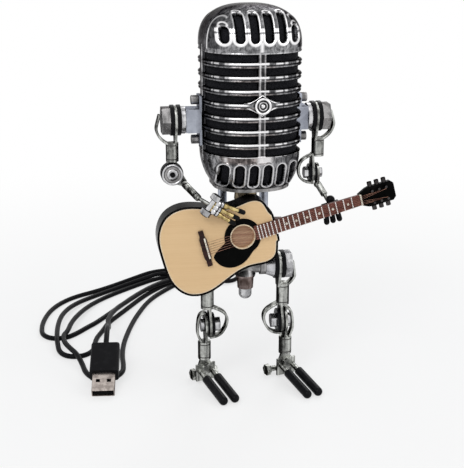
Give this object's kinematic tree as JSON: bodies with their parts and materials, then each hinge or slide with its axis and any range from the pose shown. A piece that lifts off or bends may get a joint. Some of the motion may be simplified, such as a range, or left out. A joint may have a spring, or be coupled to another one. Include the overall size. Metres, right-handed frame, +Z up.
{
  "type": "desk lamp",
  "caption": "Desk lamp in the shape of a standing robot with a microphone-shaped head, jointed arms and legs and a small guitar, with a USB cord.",
  "frame": {"origin": "centre of the box round the robot without its cord, on the surface it stands on", "axes": "+Z up, -Y the way the robot faces, -X the robot's own right"},
  "size_m": [0.1854, 0.219, 0.2],
  "materials": {
    "tinned_metal": "cast metal, silver, semi-gloss",
    "zinc_metal": "bright zinc plated steel",
    "chrome_metal": "polished",
    "nickel": "nickel plated, bright",
    "brass": "bare brass, satin",
    "aged_brass": "dark brownish brass",
    "black_rubber": "black, satin",
    "foam": "black open foam",
    "black_plastic": "black, satin",
    "cord_black": "black vinyl, satin",
    "board_white": "white lacquered board",
    "spruce": "clear gloss lacquer over pale spruce",
    "guitar_black": "black gloss lacquer",
    "neck_wood": "dark red-brown lacquered wood",
    "rosewood": "dark rosewood",
    "bone": "off-white",
    "pickguard": "black, glossy"
  },
  "bodies": {
    "pelvis": {"pelvis_tee": "tinned_metal", "hip_cups": "tinned_metal", "hip_bolts": "chrome_metal", "switch_housing": "aged_brass", "cord_gland": "black_plastic", "cord_lead": "cord_black", "cord_hank": "cord_black", "cord_tail": "cord_black", "usb_plug_body": "black_plastic", "usb_plug_shell": "nickel"},
    "upper_body": {"head_front_shell": "tinned_metal", "head_rear_shell": "tinned_metal", "head_badge": "chrome_metal", "head_foam": "foam", "head_base_plate": "tinned_metal", "led_carrier": "black_plastic", "led_board": "board_white", "neck_tube": "tinned_metal", "neck_collar": "aged_brass", "torso_posts": "tinned_metal", "torso_plate": "tinned_metal", "shoulder_brackets": "tinned_metal", "shoulder_bolts": "chrome_metal", "shoulder_spacers": "black_rubber", "guitar_top": "spruce", "guitar_body": "guitar_black", "guitar_neck": "neck_wood", "guitar_fretboard": "rosewood", "guitar_bridge": "rosewood", "guitar_saddle_and_nut": "bone", "guitar_pickguard": "pickguard", "guitar_strings": "chrome_metal", "guitar_tuners": "chrome_metal", "guitar_bracket": "tinned_metal"},
    "switch_button": {"switch_button": "chrome_metal"},
    "right_arm": {"right_upper_arm": "zinc_metal", "right_arm_washers": "black_rubber", "right_elbow_bolt": "chrome_metal"},
    "right_hand": {"right_forearm": "zinc_metal", "right_palm": "chrome_metal", "right_fingers": "brass", "right_fingertips": "black_rubber"},
    "left_arm": {"left_upper_arm": "zinc_metal", "left_arm_washers": "black_rubber", "left_elbow_bolt": "chrome_metal"},
    "left_hand": {"left_forearm": "zinc_metal", "left_palm": "black_rubber", "left_fingers": "black_rubber"},
    "right_thigh": {"right_thigh": "zinc_metal", "right_leg_washers": "black_rubber", "right_knee_bolt": "chrome_metal"},
    "right_shin": {"right_shin": "zinc_metal"},
    "right_foot": {"right_foot": "zinc_metal", "right_toes": "black_rubber"},
    "left_thigh": {"left_thigh": "zinc_metal", "left_leg_washers": "black_rubber", "left_knee_bolt": "chrome_metal"},
    "left_shin": {"left_shin": "zinc_metal"},
    "left_foot": {"left_foot": "zinc_metal", "left_toes": "black_rubber"}
  },
  "joints": [
    {"name": "waist_swivel", "type": "hinge", "parent": "pelvis", "child": "upper_body", "pos_m": [-0.01252, 0.00267, 0.074], "axis": [0, 0, 1], "range_deg": [-8, 30]},
    {"name": "switch_press", "type": "slide", "parent": "pelvis", "child": "switch_button", "axis": [0, 0, 1], "range_m": [0, 0.0015], "stiffness_N_per_m": 300},
    {"name": "right_shoulder", "type": "hinge", "parent": "upper_body", "child": "right_arm", "pos_m": [-0.04952, 0.00267, 0.1435], "axis": [1, 0, 0], "range_deg": [-95, 0]},
    {"name": "left_shoulder", "type": "hinge", "parent": "upper_body", "child": "left_arm", "pos_m": [0.02448, 0.00267, 0.1435], "axis": [1, 0, 0], "range_deg": [0, 150]},
    {"name": "right_elbow", "type": "hinge", "parent": "right_arm", "child": "right_hand", "pos_m": [-0.05052, 0.00267, 0.1165], "axis": [0, 1, 0], "range_deg": [-20, 3]},
    {"name": "left_elbow", "type": "hinge", "parent": "left_arm", "child": "left_hand", "pos_m": [0.02348, 0.00267, 0.1142], "axis": [1, 0, 0], "range_deg": [0, 70]},
    {"name": "right_hip", "type": "hinge", "parent": "pelvis", "child": "right_thigh", "pos_m": [-0.03052, 0.00267, 0.0649], "axis": [1, 0, 0], "range_deg": [-38, 75]},
    {"name": "right_knee", "type": "hinge", "parent": "right_thigh", "child": "right_shin", "pos_m": [-0.03352, 0.00267, 0.033], "axis": [1, 0, 0], "range_deg": [-45, 100]},
    {"name": "right_ankle", "type": "hinge", "parent": "right_shin", "child": "right_foot", "pos_m": [-0.03472, 0.00267, 0.008], "axis": [0.2924, -0.9563, 0], "range_deg": [-20, 20]},
    {"name": "left_hip", "type": "hinge", "parent": "pelvis", "child": "left_thigh", "pos_m": [0.00548, 0.00267, 0.0649], "axis": [1, 0, 0], "range_deg": [-85, 75]},
    {"name": "left_knee", "type": "hinge", "parent": "left_thigh", "child": "left_shin", "pos_m": [0.00848, 0.00267, 0.033], "axis": [1, 0, 0], "range_deg": [-45, 100]},
    {"name": "left_ankle", "type": "hinge", "parent": "left_shin", "child": "left_foot", "pos_m": [0.00968, 0.00267, 0.008], "axis": [0.2924, -0.9563, 0], "range_deg": [-20, 20]}
  ]
}
